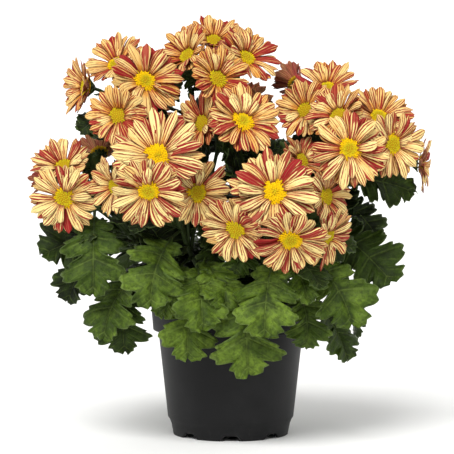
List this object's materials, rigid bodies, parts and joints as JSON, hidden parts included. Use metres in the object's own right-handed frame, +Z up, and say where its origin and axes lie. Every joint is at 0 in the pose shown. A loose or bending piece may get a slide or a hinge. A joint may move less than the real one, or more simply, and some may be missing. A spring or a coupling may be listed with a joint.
{
  "type": "potted chrysanthemum",
  "caption": "Bushy daisy-flowered chrysanthemum with striped cream and coral blooms over lobed green leaves, growing in a round black nursery pot.",
  "frame": {"origin": "middle of the pot's foot ring, on the surface the pot stands on", "axes": "+Z up along the pot's axis; +X to the right and +Y to the back as seen from the pictured side"},
  "size_m": [0.3305, 0.3105, 0.3415],
  "materials": {
    "pot": "satin",
    "soil": "matte",
    "foliage": "matte",
    "petals": "matte",
    "disc": "matte"
  },
  "bodies": {
    "root": {"pot": "pot", "soil": "soil", "leafy_stem_front_left": "foliage", "leafy_stem_back_left": "foliage", "leafy_stem_front_right": "foliage", "leafy_stem_back_right": "foliage", "bloom_left_high_petals": "petals", "bloom_left_high_disc": "disc", "bloom_left_low_petals": "petals", "bloom_left_low_disc": "disc", "bloom_left_side": "petals", "bloom_left_inner": "petals", "bloom_main_left_petals": "petals", "bloom_main_left_disc": "disc", "bloom_main_left_low_petals": "petals", "bloom_main_left_low_disc": "disc", "bloom_middle_petals": "petals", "bloom_middle_disc": "disc", "bloom_middle_high": "petals", "bloom_crest_left": "petals", "bloom_crest_left_up_petals": "petals", "bloom_crest_left_up_disc": "disc", "bloom_crest_main_petals": "petals", "bloom_crest_main_disc": "disc", "bloom_crest_low_petals": "petals", "bloom_crest_low_disc": "disc", "bloom_top_left_petals": "petals", "bloom_top_left_disc": "disc", "bloom_top_back": "petals", "bloom_top_closed": "petals", "bloom_back_left": "petals", "bloom_left_closed": "petals", "bloom_main_right_petals": "petals", "bloom_main_right_disc": "disc", "bloom_low_left_petals": "petals", "bloom_low_left_disc": "disc", "bloom_low_right_petals": "petals", "bloom_low_right_disc": "disc", "bloom_right_inner": "petals", "bloom_right_under": "petals", "bloom_centre_petals": "petals", "bloom_centre_disc": "disc", "bloom_centre_high_petals": "petals", "bloom_centre_high_disc": "disc", "bloom_centre_right": "petals", "bloom_right_main_petals": "petals", "bloom_right_main_disc": "disc", "bloom_right_end_petals": "petals", "bloom_right_end_disc": "disc", "bloom_right_mid_petals": "petals", "bloom_right_mid_disc": "disc", "bloom_right_left": "petals", "bloom_right_crest": "petals", "bloom_right_up": "petals", "bloom_far_right": "petals", "bloom_right_closed": "petals", "bloom_top_right_petals": "petals", "bloom_top_right_disc": "disc", "bloom_back_middle": "petals", "bloom_back_right": "petals"}
  },
  "joints": []
}
